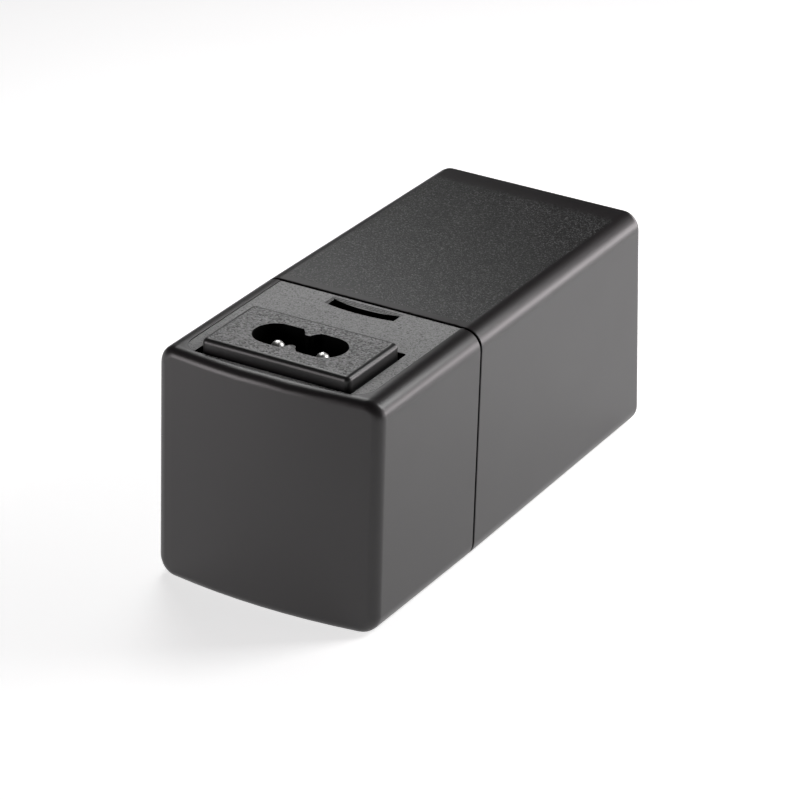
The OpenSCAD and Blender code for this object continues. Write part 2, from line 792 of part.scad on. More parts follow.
// Electrolytic can with its rolled groove, its rounded top and its leads
module can(at, offsets, d, h) {
  r = d / 2;
  translate([at[0], at[1], board_top]) rotate_extrude() difference() {
    union() {
      square([r, h - can_rim]);
      square([r - can_rim, h]);
      translate([r - can_rim, h - can_rim]) circle(can_rim, $fn = 24);
    }
    translate([r + can_groove / 3, 3 * can_rim]) circle(can_groove, $fn = 24);
  }
  leads(at, offsets);
}

module bulk_capacitor() { color("#25303f") can(bulk_at, bulk_leads, bulk_d, bulk_h); }

// Heatsink plate on edge, with its top bent inwards and two pegs into the board
module heatsink(side, span, bend) {
  x = side > 0 ? sink_x : -sink_x - sink_t;
  difference() {
    union() {
      translate([x, span[0], board_top]) cube([sink_t, span[1] - span[0], sink_h]);
      translate([side > 0 ? sink_x - bend : -sink_x, span[0], board_top + sink_h - sink_t])
        cube([bend, span[1] - span[0], sink_t]);
    }
    children();
  }
}

tab_h = 15.4;
power_h = 9.2;
power_z = board_top + 4;
tab_hole_z = power_z + tab_h - 2.8;
tab_screw_r = 1.5;
tab_head_r = 2.6;
sink_hole_r = tab_screw_r + 0.05;
tab_hole_r = tab_screw_r + 0.3;
primary_bend = 5;
secondary_bend = 3;

module primary_heatsink() {
  color("#b4b8bb") {
    heatsink(1, primary_sink_y, primary_bend)
      translate([sink_x - 1, transistor_y, tab_hole_z]) rotate([0, 90, 0])
        cylinder(r = sink_hole_r, h = sink_t + 2);
    for (i = [0, 1])
      translate([peg_holes[i][0], peg_holes[i][1], board_z]) cylinder(r = peg_r, h = board_t + eps);
  }
}

// Power device flat against a heatsink: plastic body, metal tab with its hole, three legs
module power_device(side, y) {
  scale([side, 1, 1]) translate([0, y, 0]) {
    translate([sink_x - power_t, -power_w / 2, power_z]) cube([power_t, power_w, power_h]);
    difference() {
      translate([sink_x - tab_t, -power_w / 2, power_z]) cube([tab_t, power_w, tab_h]);
      translate([sink_x - power_t, 0, tab_hole_z]) rotate([0, 90, 0])
        cylinder(r = tab_hole_r, h = 2 * power_t);
    }
    for (p = power_leads)
      translate([power_lead_x, p[1], board_top]) cylinder(r = lead_r, h = power_z - board_top + 1);
    leads([power_lead_x, 0], power_leads);
  }
}

module switching_transistor() { color("#242426") power_device(1, transistor_y); }

module sink_screw(side, y) {
  scale([side, 1, 1]) translate([sink_x - tab_t, y, tab_hole_z]) rotate([0, 90, 0])
    screw(tab_screw_r, tab_t + sink_t, tab_head_r, 1.6);
}

module transistor_screw() { color("#b9bcc0") sink_screw(1, transistor_y); }

chip_w = 3.9;
chip_l = 4.9;
chip_h = 1.5;
chip_gap = 0.15;
chip_leg_w = 0.4;
chip_leg_t = 0.2;
chip_leg_z = 0.7;

module controller_chip() {
  color("#1c1c1e") translate([chip_at[0], chip_at[1], board_top]) {
    brick([0, 0, chip_gap], chip_w, chip_l, chip_h, 0.2);
    for (x = [-1, 1], i = [-1.5:1.5])
      translate([0, (i - 0.5) * pitch / 4 + pitch / 8 - chip_leg_w / 2, 0]) scale([x, 1, 1]) {
        translate([chip_w / 2 - 0.1, 0, chip_leg_z]) cube([0.5, chip_leg_w, chip_leg_t]);
        translate([chip_w / 2 + 0.2, 0, 0]) cube([chip_leg_t, chip_leg_w, chip_leg_z + chip_leg_t]);
        translate([chip_w / 2 + 0.2, 0, 0]) cube([0.7, chip_leg_w, chip_leg_t]);
      }
  }
}

// Transformer: two core halves that meet in the middle of the bobbin
bobbin_h = 17;
core_z = board_top + bobbin_h / 2 + 1;
bobbin_w = core_w - 2 * leg_w - 0.4;
bobbin_flange = 0.9;
tube_w = core_t + 2 * bobbin_flange;
winding_t = 1.45;
winding_in = 1.5;
winding_r = 2.5;

module core_half(side) {
  half_l = core_l / 2;
  color("#3a3a3c") translate([transformer_at[0], transformer_at[1], core_z - core_t / 2])
    scale([side, 1, 1]) linear_extrude(core_t) {
      translate([half_l - leg_w, -core_w / 2]) square([leg_w, core_w]);
      for (y = [-core_w / 2, core_w / 2 - leg_w]) translate([0, y]) square([half_l, leg_w]);
      translate([0, -core_t / 2]) square([half_l, core_t]);
    }
}

module transformer_core_left() { core_half(-1); }

module transformer_core_right() { core_half(1); }

module transformer_bobbin() {
  color("#8a2f24") {
    translate([transformer_at[0], transformer_at[1], core_z]) difference() {
      union() {
        cube([bobbin_l, tube_w, tube_w], center = true);
        for (x = [-bobbin_l / 2, bobbin_l / 2 - bobbin_flange])
          translate([x, -bobbin_w / 2, board_top - core_z]) cube([bobbin_flange, bobbin_w, bobbin_h]);
        for (x = [-1, 1])
          translate([x * (bobbin_l + bobbin_foot - 0.4) / 2, 0, board_top - core_z + bobbin_foot / 2])
            cube([bobbin_foot, bobbin_w, bobbin_foot], center = true);
      }
      cube([2 * core_l, core_t + 2 * fit, core_t + 2 * fit], center = true);
    }
    leads(transformer_at, transformer_leads);
  }
}

module transformer_winding() {
  l = bobbin_l - 2 * bobbin_flange - 2 * fit;
  color("#d3a63c") translate([transformer_at[0] - l / 2, transformer_at[1], core_z]) rotate([90, 0, 90])
    linear_extrude(l) difference() {
      rounded_square(tube_w + 2 * (winding_t + fit), bobbin_h - 2 * winding_in, winding_r);
      square(tube_w + 2 * fit, center = true);
    }
}

module y_capacitor() { color("#3f6fae") disc(y_cap_at, y_cap_leads, y_cap_d, y_cap_t, 90); }

module optocoupler() {
  color("#222224") {
    brick([opto_at[0], opto_at[1], board_top + 0.5], opto_w, opto_l, opto_h, 0.3);
    for (p = placed(opto_at, opto_leads)) {
      inward = p[1] > opto_at[1] ? -opto_leg : 0;
      translate([p[0] - lead_r, p[1] + inward, board_top + opto_h / 2]) cube([2 * lead_r, opto_leg, 0.3]);
      translate([p[0], p[1], board_top]) cylinder(r = lead_r, h = opto_h / 2 + 0.3);
    }
    leads(opto_at, opto_leads);
  }
}

// Components on the output side
module secondary_heatsink() {
  color("#b4b8bb") {
    heatsink(-1, secondary_sink_y, secondary_bend)
      translate([-sink_x - sink_t - 1, rectifier_y, tab_hole_z]) rotate([0, 90, 0])
        cylinder(r = sink_hole_r, h = sink_t + 2);
    for (i = [2, 3])
      translate([peg_holes[i][0], peg_holes[i][1], board_z]) cylinder(r = peg_r, h = board_t + eps);
  }
}

module output_rectifier() { color("#242426") power_device(-1, rectifier_y); }

module rectifier_screw() { color("#b9bcc0") sink_screw(-1, rectifier_y); }

module output_capacitors() {
  color("#2b3a2e")
    for (p = out_caps_at) can(p, out_cap_leads, out_cap_d, out_cap_h);
}

module output_choke() {
  color("#7a4a26") {
    translate([out_choke_at[0], out_choke_at[1], board_top]) rotate_extrude() {
      square([out_choke_r, 1]);
      square([out_choke_r - 0.4, out_choke_h]);
      translate([0, out_choke_h - 1]) square([out_choke_r, 1]);
    }
    leads(out_choke_at, out_choke_leads);
  }
}

// Output contact block in the rear end, leaning with it: its local +Y points out of the case
contact_recess = 0.5;
contact_flange_t = 1.4;
contact_t = 0.8;
contact_slot_h = contact_block_h - 3;

module at_contact_block() {
  translate([0, back_face(0, contact_z), contact_z]) rotate([contact_lean, 0, 0]) children();
}

module contact_block() {
  flange_d = -wall * cos(contact_lean);
  color("#1d1d1f") at_contact_block() difference() {
    union() {
      translate([-contact_block_w / 2, flange_d - eps, -contact_block_h / 2])
        cube([contact_block_w, -flange_d + eps - contact_recess, contact_block_h]);
      translate([0, flange_d - contact_flange_t / 2, 0]) cube([
        contact_block_w + 2 * contact_flange_t, contact_flange_t, contact_block_h + 2 * contact_flange_t
      ], center = true);
    }
    for (x = contact_x) {
      translate([x - contact_w / 2, -contact_recess - 1, -contact_slot_h / 2])
        cube([contact_w, 2, contact_slot_h]);
      translate([x, 0, 0]) rotate([90, 0, 0]) cylinder(r = 0.8, h = 3 * wall);
    }
  }
}

// Flat contact in its slot, with a round tail through the block
module contact(x) {
  color("#c9a24a") at_contact_block() {
    translate([x - contact_w / 2 + fit, -contact_recess - 1, -contact_slot_h / 2 + fit])
      cube([contact_w - 2 * fit, contact_t, contact_slot_h - 2 * fit]);
    translate([x, -contact_recess - 1 + eps, 0]) rotate([90, 0, 0])
      cylinder(r = 0.7, h = contact_tail - contact_recess - 1);
  }
}

module contact_positive() { contact(contact_x[0]); }

module contact_signal() { contact(contact_x[1]); }

module contact_negative() { contact(contact_x[2]); }

// Insulated link from a contact's tail down to the board
module contact_lead(x) {
  along = [0, -cos(contact_lean), -sin(contact_lean)];
  start = [x, back_face(0, contact_z), contact_z] + contact_tail * along;
  wire([start, start + link_out * along, [x, wire_y, board_top]], 0.8);
  translate([x, wire_y, 0]) through_lead();
}

module positive_lead() { color("#a02c24") contact_lead(contact_x[0]); }

module signal_lead() { color("#d8d2b0") contact_lead(contact_x[1]); }

module negative_lead() { color("#1b1b1d") contact_lead(contact_x[2]); }

main_housing();
end_cap();
inlet_body();
inlet_pin_left();
inlet_pin_right();
inlet_screws();
live_lead();
neutral_lead();
circuit_board();
board_screws();
insulating_sheet();
fuse();
varistor();
inrush_thermistor();
x_capacitor();
choke_core();
choke_windings();
bridge_rectifier();
bulk_capacitor();
primary_heatsink();
switching_transistor();
transistor_screw();
controller_chip();
transformer_core_left();
transformer_core_right();
transformer_bobbin();
transformer_winding();
y_capacitor();
optocoupler();
secondary_heatsink();
output_rectifier();
rectifier_screw();
output_capacitors();
output_choke();
contact_block();
contact_positive();
contact_signal();
contact_negative();
positive_lead();
signal_lead();
negative_lead();
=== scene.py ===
import math

import bpy
from mathutils import Matrix, Vector


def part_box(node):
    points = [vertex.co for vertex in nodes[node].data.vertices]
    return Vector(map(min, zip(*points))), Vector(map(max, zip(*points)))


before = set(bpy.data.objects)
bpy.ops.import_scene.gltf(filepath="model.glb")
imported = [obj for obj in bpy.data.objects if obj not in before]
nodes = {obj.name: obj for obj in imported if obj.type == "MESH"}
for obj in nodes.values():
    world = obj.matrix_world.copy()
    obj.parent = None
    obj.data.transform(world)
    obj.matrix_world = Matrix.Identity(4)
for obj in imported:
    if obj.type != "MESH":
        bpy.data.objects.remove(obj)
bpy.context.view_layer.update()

# Camera
# The picture was taken with a long lens, from above and to the right of the inlet end,
# with the camera turned by a degree about its own axis.
body_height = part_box("main_housing")[1].z
view_azimuth = math.radians(30.397)
view_elevation = math.radians(26.267)
view_roll = math.radians(0.885)
view_distance = 0.7481
view_offset = (0.00156, 0.00222)
focal_length_px = 4347.5
frame_px = 800
sensor_mm = 36

aim = Vector((0, 0, body_height / 2))
backward = Vector((
    math.sin(view_azimuth) * math.cos(view_elevation),
    -math.cos(view_azimuth) * math.cos(view_elevation),
    math.sin(view_elevation),
))
level_right = Vector((math.cos(view_azimuth), math.sin(view_azimuth), 0))
level_up = backward.cross(level_right)
right = math.cos(view_roll) * level_right + math.sin(view_roll) * level_up
up = math.cos(view_roll) * level_up - math.sin(view_roll) * level_right
eye = aim + view_distance * backward - view_offset[0] * right - view_offset[1] * up

lens = bpy.data.cameras.new("camera")
lens.sensor_width = sensor_mm
lens.lens = focal_length_px / frame_px * sensor_mm
lens.clip_start = 0.01
camera = bpy.data.objects.new("camera", lens)
turn = Matrix((right, up, backward)).transposed().to_4x4()
camera.matrix_world = Matrix.Translation(eye) @ turn
bpy.context.scene.collection.objects.link(camera)
bpy.context.scene.camera = camera

# Studio
# A white table top that glows a little, so that it stays white right up to the object. Low soft boxes
# a few hand widths away light the sides, and small ones close above light the top.
table_half = 3
table_glow = 0.66


def paint(name, colour, roughness, **sockets):
    """A new material with a plain Principled shader, and that shader."""
    material = bpy.data.materials.new(name)
    material.use_nodes = True
    shader = material.node_tree.nodes["Principled BSDF"]
    shader.inputs["Base Color"].default_value = (*colour, 1)
    shader.inputs["Roughness"].default_value = roughness
    for socket, value in sockets.items():
        shader.inputs[socket.replace("_", " ")].default_value = value
    return material, shader


def new_object(name, mesh):
    """Puts a mesh into the scene."""
    piece = bpy.data.objects.new(name, mesh)
    bpy.context.scene.collection.objects.link(piece)
    return piece


table_mesh = bpy.data.meshes.new("table_top")
table_corners = [(x * table_half, y * table_half, 0) for x, y in ((-1, -1), (1, -1), (1, 1), (-1, 1))]
table_mesh.from_pydata(table_corners, [], [(0, 1, 2, 3)])
table_top = new_object("table_top", table_mesh)
table_white, _ = paint(
    "table_white", (0.9, 0.9, 0.9), 0.7, Emission_Color=(1, 1, 1, 1), Emission_Strength=table_glow
)
table_mesh.materials.append(table_white)


def soft_box(name, place, target, width, height, power, colour):
    """A rectangular soft box that faces a point."""
    light = bpy.data.lights.new(name, "AREA")
    light.shape = "RECTANGLE"
    light.size = width
    light.size_y = height
    light.energy = power
    light.color = colour
    box = bpy.data.objects.new(name, light)
    facing = (Vector(target) - Vector(place)).to_track_quat("-Z", "Y")
    box.matrix_world = Matrix.Translation(Vector(place)) @ facing.to_matrix().to_4x4()
    bpy.context.scene.collection.objects.link(box)


side_aim = (0, 0, 0.03)
top_aim = (0, -0.01, 0.04)
plain_white = (1, 1, 1)
warm_white = (1, 0.94, 0.96)
small_side = 0.08
soft_box("front_left_box", (-0.291, -0.401, 0.1), side_aim, 0.2, 0.2, 0.92, warm_white)
soft_box("right_box", (0.471, 0.153, 0.1), side_aim, 0.2, 0.2, 0.15, warm_white)
soft_box("rear_right_box", (0.39, 0.32, 0.07), side_aim, 0.6, 0.14, 0.78, warm_white)
soft_box("rear_box", (0.201, 0.452, 0.07), side_aim, 0.5, 0.14, 1.0, warm_white)
soft_box("high_rear_box", (0.22, 0.38, 0.28), side_aim, 0.24, 0.24, 0.05, plain_white)
soft_box("near_right_box", (0.14, 0.1, 0.16), top_aim, small_side, small_side, 0.25, plain_white)
soft_box("near_left_box", (-0.14, 0.16, 0.22), top_aim, small_side, small_side, 0.1, plain_white)
soft_box("near_top_box", (-0.06, 0.04, 0.16), top_aim, small_side, small_side, 0.066, plain_white)

world = bpy.data.worlds.new("studio")
world.use_nodes = True
world.node_tree.nodes["Background"].inputs["Strength"].default_value = 0
bpy.context.scene.world = world
bpy.context.scene.view_settings.view_transform = "Standard"

# Case
# Two mouldings in black ABS that close on each other at the joint. The mould is polished to a satin sheen
# all round, and spark-eroded to a fine grain in a field on the housing's top and in the cap's shallow panel.
joint_y = -0.0131
joint_lean = 0.0014
joint_gap = 0.0005
field_side = 0.018
field_front = joint_y + 0.002
field_back = 0.0405
field_corner = 0.0012
field_fade = 0.0005
back_fade = 0.003
panel_sink = 0.00015
panel_lowest = 0.0006
slot_half_width = 0.0065
slot_front = -0.0177
slot_floor = 0.001
inlet_middle = -0.0355
window_half = (0.01501, 0.00881)
satin = 0.36
# The play allowed where faces are told apart by where they lie
hair = 0.00002


def smooth_edges(piece, angle=25):
    """Rounded edges shade as one surface with the flats beside them, and sharp ones stay sharp."""
    same_point = 1e-7
    piece.data.shade_smooth()
    weld = piece.modifiers.new("weld", "WELD")
    weld.merge_threshold = same_point
    split = piece.modifiers.new("split", "EDGE_SPLIT")
    split.split_angle = math.radians(angle)
    weighted = piece.modifiers.new("weighted", "WEIGHTED_NORMAL")
    weighted.mode = "FACE_AREA"


def finish_in(name, *materials, angle=25):
    """Gives a CAD piece its finish, or several materials in the order that its faces are told apart by."""
    piece = nodes[name]
    smooth_edges(piece, angle)
    piece.data.materials.clear()
    for material in materials:
        piece.data.materials.append(material)
    return piece


def wire(material, kind, inputs, output=0, **settings):
    """Adds a shader node, sets its inputs or joins them to other nodes, and gives back one output."""
    made = material.node_tree.nodes.new("ShaderNode" + kind)
    for setting, choice in settings.items():
        setattr(made, setting, choice)
    for socket, value in inputs.items():
        if isinstance(value, bpy.types.NodeSocket):
            material.node_tree.links.new(value, made.inputs[socket])
        else:
            made.inputs[socket].default_value = value
    return made.outputs[output]


def plug_in(material, shader, **joined):
    """Joins outputs to the shader's inputs."""
    for socket, output in joined.items():
        material.node_tree.links.new(output, shader.inputs[socket.replace("_", " ")])


noise_low, noise_high = 0.3, 0.7


def noise(material, spot, size, detail=2, roughness=0.5):
    """Soft noise with blotches of about this size, in metres, nearly all from noise_low to noise_high."""
    look = {"Vector": spot, "Scale": 0.5 / size, "Detail": detail, "Roughness": roughness}
    return wire(material, "TexNoise", look)


def between(material, factor, low, high, start=0.0, end=1.0, blend="LINEAR"):
    """low to high as the factor goes from start to end."""
    return wire(
        material, "MapRange", {0: factor, 1: start, 2: end, 3: low, 4: high}, interpolation_type=blend
    )


def around(material, blotches, middle, part):
    """A value that strays from its middle by this part of it, as soft noise does."""
    return between(material, blotches, middle * (1 - part), middle * (1 + part), noise_low, noise_high)


def shade(material, factor, dark, light):
    """dark to light colour as the factor goes from 0 to 1."""
    return wire(material, "Mix", {0: factor, 6: (*dark, 1), 7: (*light, 1)}, 2, data_type="RGBA")


def scaled(colour, by):
    """A colour made darker or lighter."""
    return tuple(part * by for part in colour)


def moulded(name, colour, roughness, grain, depth, drift=0.12, **sockets):
    """A moulded, coated or plated skin: shade and gloss drift a little, over a fine grain."""
    material, shader = paint(name, colour, roughness, **sockets)
    spot = wire(material, "TexCoord", {}, "Object")
    slow = noise(material, spot, 0.004)
    fine = noise(material, spot, grain, 3)
    plug_in(
        material, shader,
        Base_Color=shade(material, slow, scaled(colour, 1 - drift), scaled(colour, 1 + drift)),
        Roughness=around(material, slow, roughness, drift),
        Normal=wire(material, "Bump", {"Height": fine, "Distance": depth}),
    )
    return material


def sunk_face(material, low, high):
    """1 on level faces that look up between two heights, and 0 elsewhere."""
    nearly_straight_up = 0.9998
    spot = wire(material, "TexCoord", {}, "Object")
    height = wire(material, "SeparateXYZ", {0: spot}, 2)
    facing = wire(material, "SeparateXYZ", {0: wire(material, "NewGeometry", {}, "True Normal")}, 2)
    level = wire(material, "Math", {0: facing, 1: nearly_straight_up}, operation="GREATER_THAN")
    above = wire(material, "Math", {0: height, 1: low}, operation="GREATER_THAN")
    below = wire(material, "Math", {0: height, 1: high}, operation="LESS_THAN")
    inside = wire(material, "Math", {0: above, 1: below}, operation="MULTIPLY")
    return wire(material, "Math", {0: level, 1: inside}, operation="MULTIPLY")


def field_mask(material, spot, middle, half_size, radius, fade):
    """1 inside a rounded rectangle seen from above, fading to 0 across its edge."""
    away = wire(material, "VectorMath", {0: spot, 1: middle}, operation="SUBTRACT")
    away = wire(material, "VectorMath", {0: away}, operation="ABSOLUTE")
    core = (half_size[0] - radius, half_size[1] - radius, 1)
    away = wire(material, "VectorMath", {0: away, 1: core}, operation="SUBTRACT")
    away = wire(material, "VectorMath", {0: away, 1: (0, 0, 0)}, operation="MAXIMUM")
    reach = wire(material, "VectorMath", {0: away}, 1, operation="LENGTH")
    return between(material, reach, 1, 0, radius - fade / 2, radius + fade / 2, "SMOOTHSTEP")


def case_skin(name, mask_of, base, grained_colour, grained_roughness, grain, depth, sparkle):
    """Satin ABS with a grained part: the mask says where, and single grains catch more or less light."""
    blotch_size, blotch_drift = 0.006, 0.06
    polish_size, polish_depth = 0.00006, 2e-7
    material, shader = paint(name, base, satin)
    spot = wire(material, "TexCoord", {}, "Object")
    mask = mask_of(material, spot)
    slow = noise(material, spot, blotch_size)
    fine = noise(material, spot, polish_size, 1)
    grains = noise(material, spot, grain, 3, 0.6)
    cells = wire(material, "TexVoronoi", {"Vector": spot, "Scale": 1 / grain}, 1)
    pick = wire(material, "SeparateXYZ", {0: cells}, 0)
    sheen = wire(material, "Math", {0: pick, 1: sparkle}, operation="POWER")
    sheen = wire(material, "Math", {0: sheen, 1: 1 + sparkle}, operation="MULTIPLY")
    plain = shade(material, slow, scaled(base, 1 - blotch_drift), scaled(base, 1 + blotch_drift))
    rough = wire(material, "VectorMath", {0: grained_colour, "Scale": sheen}, operation="SCALE")
    colour = wire(material, "Mix", {0: mask, 6: plain, 7: rough}, 2, data_type="RGBA")
    gloss = around(material, slow, satin, 0.03)
    matte = around(material, grains, grained_roughness, -0.08)
    roughness = wire(material, "Mix", {0: mask, 2: gloss, 3: matte}, 0)
    bump = wire(material, "Bump", {"Height": fine, "Distance": polish_depth})
    relief = wire(material, "Bump", {"Height": grains, "Distance": depth, "Strength": mask, "Normal": bump})
    plug_in(material, shader, Base_Color=colour, Roughness=roughness, Normal=relief)
    return material


def housing_field(material, spot):
    """The grained field on top of the housing, which fades out before the rear end."""
    upper = wire(material, "SeparateXYZ", {0: spot}, 2)
    upper = wire(material, "Math", {0: upper, 1: body_height / 2}, operation="GREATER_THAN")
    middle = (0, (field_front + field_back) / 2, 0)
    half_size = (field_side, (field_back - field_front) / 2)
    long_part = field_mask(material, spot, middle, half_size, field_corner, field_fade)
    along = wire(material, "SeparateXYZ", {0: spot}, 1)
    fading = between(material, along, 1, 0, field_back - back_fade, field_back, "SMOOTHSTEP")
    both = wire(material, "Math", {0: long_part, 1: fading}, operation="MULTIPLY")
    return wire(material, "Math", {0: both, 1: upper}, operation="MULTIPLY")


def cap_panel(material, spot):
    """The level floor of the cap's shallow panel."""
    return sunk_face(material, body_height - panel_lowest, body_height - panel_sink / 2)


case_black = (0.0135, 0.0118, 0.0124)
housing_skin = case_skin(
    "housing_abs", housing_field, case_black, (0.0195, 0.0195, 0.0195), 0.43, 0.00018, 5e-5, 5.5
)
cap_skin = case_skin("cap_abs", cap_panel, case_black, (0.25, 0.25, 0.25), 0.6, 0.0002, 5e-5, 0.28)
# Painted shadow: a near-black, dull material for the walls of the joint gap, the catch slot, the window and
# the inlet's cavity. It is darker than the case itself and stands for the deep shade in these hollows.
painted_shadow_black = moulded(
    "painted_shadow_black", (0.0012, 0.0012, 0.0012), 0.6, 0.0001, 1e-6, Specular_IOR_Level=0.05
)


def joint_at(z):
    """Where the middle of the leaning joint lies at a height."""
    return joint_y - joint_lean * (1 - z / body_height)


housing = finish_in("main_housing", housing_skin, painted_shadow_black)
# Faces in the joint gap get the painted shadow black.
for face in housing.data.polygons:
    if face.center.y < joint_at(face.center.z) + joint_gap / 2 + hair:
        face.material_index = 1

cap = finish_in("end_cap", cap_skin, painted_shadow_black)
# Faces in the joint gap, the catch slot and the window get the painted shadow black.
for face in cap.data.polygons:
    middle = face.center
    in_joint = middle.y > joint_at(middle.z) - joint_gap / 2 - hair
    in_slot = abs(middle.x) < slot_half_width and slot_front < middle.y < joint_y
    in_slot = in_slot and middle.z < body_height - slot_floor
    in_window = abs(middle.x) < window_half[0] and abs(middle.y - inlet_middle) < window_half[1]
    in_window = in_window and middle.z < body_height - 2 * panel_sink
    if in_joint or in_slot or in_window:
        face.material_index = 1

# Mains inlet
# A block in black filled nylon that stands through the window of the cap. Its top is moulded with a
# coarse grain, and its two-lobed cavity holds two turned brass pins with a nickel plate.
cavity_half = (0.00875, 0.00405)
cavity_rim = 0.0001
block_top_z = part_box("inlet_body")[1].z


def block_face(material, spot):
    """The level top of the inlet's block."""
    return sunk_face(material, block_top_z - hair, block_top_z + hair)


inlet_skin = case_skin(
    "inlet_nylon", block_face, (0.012, 0.012, 0.012), (0.16, 0.16, 0.16), 0.5, 0.0003, 1.6e-4, 0.8
)
inlet = finish_in("inlet_body", inlet_skin, painted_shadow_black)
# The walls and floor of the cavity get the painted shadow black.
for face in inlet.data.polygons:
    middle = face.center
    in_cavity = abs(middle.x) < cavity_half[0] and abs(middle.y - inlet_middle) < cavity_half[1]
    if in_cavity and middle.z < block_top_z - cavity_rim:
        face.material_index = 1

pin_nickel = moulded("pin_nickel", (0.93, 0.92, 0.9), 0.42, 0.0002, 4e-7, 0.04, Metallic=1)
for name in ("inlet_pin_left", "inlet_pin_right"):
    finish_in(name, pin_nickel)

# Inlet screws and mains leads
# Zinc plated screws hold the inlet by its ears. One brown and one blue insulated lead run to the board.
screw_zinc = moulded("screw_zinc", (0.62, 0.63, 0.65), 0.3, 0.0003, 2e-6, 0.08, Metallic=1)
finish_in("inlet_screws", screw_zinc)


def insulation(name, colour):
    """Extruded insulation, a little glossy, with the fine lines of the die."""
    return moulded(name, colour, 0.38, 0.0004, 3e-6, 0.1)


finish_in("live_lead", insulation("brown_insulation", (0.11, 0.045, 0.02)))
finish_in("neutral_lead", insulation("blue_insulation", (0.03, 0.09, 0.3)))

# Circuit board
# Glass laminate under green solder resist, with copper tracks that show through as paler green.
# Two screws hold it to the posts, over a sheet of pressboard.
track_pitch = 0.0032
track_width = 0.2
resist_green = (0.012, 0.085, 0.035)
track_green = (0.035, 0.17, 0.07)
resist, resist_shader = paint("solder_resist", resist_green, 0.3)
spot = wire(resist, "TexCoord", {}, "Object")
tracks = wire(
    resist, "TexVoronoi", {"Vector": spot, "Scale": 1 / track_pitch}, 0, feature="DISTANCE_TO_EDGE"
)
copper = between(resist, tracks, 0, 1, track_width, track_width * 1.25)
weave = noise(resist, spot, 0.0005)
relief = wire(resist, "Bump", {"Height": weave, "Distance": 4e-6})
plug_in(
    resist, resist_shader,
    Base_Color=shade(resist, copper, resist_green, track_green),
    Roughness=between(resist, weave, 0.26, 0.36, noise_low, noise_high),
    Normal=wire(resist, "Bump", {"Height": copper, "Distance": 3e-5, "Normal": relief}),
)
finish_in("circuit_board", resist)
finish_in("board_screws", screw_zinc)
finish_in("insulating_sheet", moulded("pressboard", (0.55, 0.48, 0.33), 0.75, 0.0006, 2e-5, 0.15))

# Fuse, varistor, thermistor and X capacitor
# The mains input parts: a boxed fuse, two ceramic discs dipped in a lumpy coating, and a capacitor cast
# in a plastic box. Their leads are soldered through the board.
coat_grain = 0.0012
coat_depth = 4e-5
finish_in("fuse", moulded("fuse_case", (0.09, 0.055, 0.03), 0.42, 0.0004, 4e-6))
finish_in("varistor", moulded("varistor_coat", (0.025, 0.1, 0.33), 0.22, coat_grain, coat_depth))
finish_in("inrush_thermistor", moulded("thermistor_coat", (0.04, 0.12, 0.05), 0.25, coat_grain, coat_depth))
finish_in("x_capacitor", moulded("x_capacitor_case", (0.62, 0.4, 0.03), 0.34, 0.0005, 4e-6, 0.06))

# Mains choke
# A painted ferrite ring with two halves of thick enamelled copper wire, laid turn by turn round it
# and soldered to the board at four ends.
turns_round = 44
turn_relief = 0.0002
choke_low, choke_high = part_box("choke_core")
finish_in("choke_core", moulded("core_paint", (0.03, 0.08, 0.045), 0.45, 0.0004, 8e-6))
# The darker enamel colour is painted shade for the grooves between turns. The lighter one is the enamel
# itself.
painted_groove_shade, enamel_light = (0.28, 0.08, 0.025), (0.75, 0.3, 0.11)
choke_wire, choke_shader = paint("choke_wire", enamel_light, 0.25, Metallic=0.9)
spot = wire(choke_wire, "TexCoord", {}, "Object")
spoke = wire(
    choke_wire, "VectorMath", {0: spot, 1: tuple((choke_low + choke_high) / 2)}, operation="SUBTRACT"
)
parts = [wire(choke_wire, "SeparateXYZ", {0: spoke}, axis) for axis in (0, 1)]
angle = wire(choke_wire, "Math", {0: parts[1], 1: parts[0]}, operation="ARCTAN2")
wave = wire(choke_wire, "Math", {0: angle, 1: float(turns_round)}, operation="MULTIPLY")
wave = wire(choke_wire, "Math", {0: wave}, operation="COSINE")
lay = noise(choke_wire, spot, 0.001)
plug_in(
    choke_wire, choke_shader,
    # Painted shade: the enamel is darker in the grooves between turns.
    Base_Color=shade(choke_wire, between(choke_wire, wave, 0, 1, -1, 0.2), painted_groove_shade, enamel_light),
    Roughness=between(choke_wire, lay, 0.2, 0.34, noise_low, noise_high),
    Normal=wire(choke_wire, "Bump", {"Height": wave, "Distance": turn_relief}),
)
finish_in("choke_windings", choke_wire)

# Bridge rectifier, bulk capacitor, switching transistor and controller chip
# The primary side: black epoxy packages, and an aluminium can in a shrunk sleeve. The transistor is
# screwed to a pressed aluminium plate that stands on the board.
epoxy = moulded("black_epoxy", (0.014, 0.014, 0.015), 0.5, 0.00025, 6e-6)
finish_in("bridge_rectifier", epoxy)
finish_in("switching_transistor", epoxy)
finish_in("controller_chip", epoxy)
finish_in("transistor_screw", screw_zinc)


def rolled(name, colour, roughness, stretch, depth):
    """Sheet metal with the long fine lines of the rolling mill."""
    material, shader = paint(name, colour, roughness, Metallic=1)
    spot = wire(material, "TexCoord", {}, "Object")
    long_spot = wire(material, "Mapping", {"Vector": spot, "Scale": stretch})
    lines = noise(material, long_spot, 0.0002, 3)
    slow = noise(material, spot, 0.005)
    plug_in(
        material, shader,
        Base_Color=shade(material, slow, scaled(colour, 0.9), colour),
        Roughness=around(material, lines, roughness, 0.2),
        Normal=wire(material, "Bump", {"Height": lines, "Distance": depth}),
    )
    return material


plate = rolled("plate_aluminium", (0.68, 0.69, 0.7), 0.34, (1, 0.04, 1), 6e-6)
finish_in("primary_heatsink", plate)


